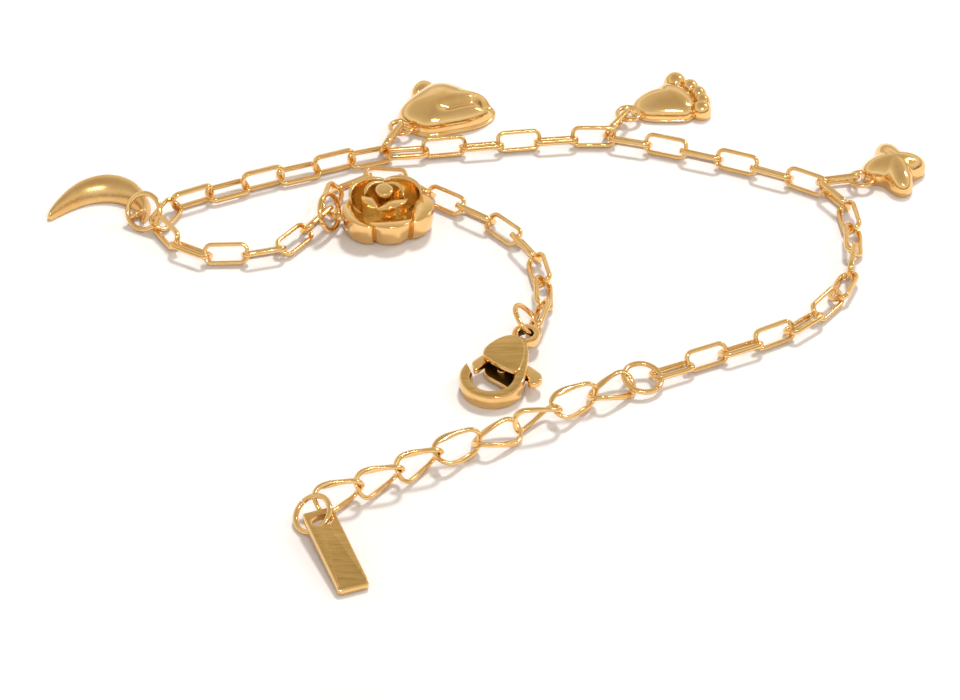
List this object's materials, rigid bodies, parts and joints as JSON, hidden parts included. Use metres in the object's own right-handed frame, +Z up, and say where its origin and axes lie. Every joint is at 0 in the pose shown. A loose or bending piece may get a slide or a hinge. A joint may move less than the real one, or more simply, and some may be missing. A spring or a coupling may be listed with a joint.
{
  "type": "charm bracelet",
  "caption": "Thin gold paperclip-chain bracelet lying open, with small puffed charms, a lobster clasp and an extender chain ending in a plain bar tag.",
  "frame": {"origin": "middle of the overall box, on the surface that the bracelet lies on", "axes": "+Z up from the surface, +Y away from the picture's camera, +X to the right as pictured; the chain's widest extent runs along X"},
  "size_m": [0.0838, 0.0751, 0.0039],
  "materials": {
    "polished_gold": "mirror-polished warm gold plating",
    "satin_gold": "satin gold plating"
  },
  "bodies": {
    "bracelet": {"chain": "polished_gold", "extender_chain": "polished_gold", "clasp_body": "polished_gold", "clasp_ring": "polished_gold", "rose_ring": "polished_gold", "rose_charm": "polished_gold", "moon_ring": "polished_gold", "moon_charm": "satin_gold", "fruit_charm": "polished_gold", "foot_charm": "polished_gold", "star_charm": "polished_gold", "extender_ring": "polished_gold", "tag_ring": "polished_gold", "tag": "polished_gold"},
    "lever": {"clasp_lever": "polished_gold"}
  },
  "joints": [
    {"name": "lever_swing", "type": "hinge", "parent": "bracelet", "child": "lever", "pos_m": [0.00104, -0.00635, 0.00134], "axis": [-0.0306, -0.0627, 0.9976], "range_deg": [0, 22], "stiffness_Nm_per_rad": 0.0001}
  ]
}
